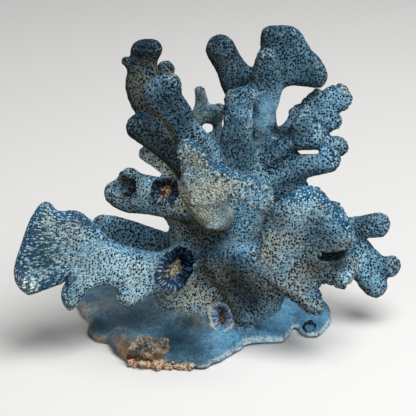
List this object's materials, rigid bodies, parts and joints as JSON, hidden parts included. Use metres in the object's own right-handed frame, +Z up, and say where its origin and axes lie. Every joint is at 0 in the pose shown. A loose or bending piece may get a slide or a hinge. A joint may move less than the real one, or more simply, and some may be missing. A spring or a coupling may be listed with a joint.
{
  "type": "blue ridge coral",
  "caption": "Dry colony of blue coral: flat fans, plates and finger branches on a short trunk and a spreading base crust, cut flat underneath, with small cup growths and a bit of reef rock.",
  "frame": {"origin": "on the flat cut under the base crust, below the trunk", "axes": "+Z up, +X to the right along the longest extent, +Y away from the front"},
  "size_m": [0.1903, 0.1264, 0.148],
  "materials": {
    "branch_pored": "dry blue-grey coral skeleton, matt, pierced all over by fine dark pores, paler at the growing rims and olive-grey underneath",
    "crust_smooth": "smooth slate-blue coral crust with a soft sheen and a few tiny pores",
    "cup_ridged": "blue-black radial ridges, pale rim and a rust-brown middle",
    "reef_rock": "rough tan-grey limestone with rust stains"
  },
  "bodies": {
    "root": {"trunk": "branch_pored", "left_fan": "branch_pored", "left_blade": "branch_pored", "barnacle_arm": "branch_pored", "low_left_finger": "branch_pored", "left_lobe": "branch_pored", "tall_left_branch": "branch_pored", "front_club": "branch_pored", "forked_front_plate": "branch_pored", "right_stem": "branch_pored", "centre_fan": "branch_pored", "top_club": "branch_pored", "top_fan": "branch_pored", "right_arm": "branch_pored", "right_finger": "branch_pored", "right_front_plate": "branch_pored", "far_right_branch": "branch_pored", "rear_top_fingers": "branch_pored", "rear_left_blade": "branch_pored", "rear_right_blade": "branch_pored", "rear_upper_blade": "branch_pored", "rear_fan": "branch_pored", "base_crust": "crust_smooth", "neck_cup": "cup_ridged", "arm_cup": "cup_ridged", "arm_tip_cup": "cup_ridged", "foot_cup": "cup_ridged", "crust_edge_cup": "cup_ridged", "rubble_fragment": "reef_rock"}
  },
  "joints": []
}
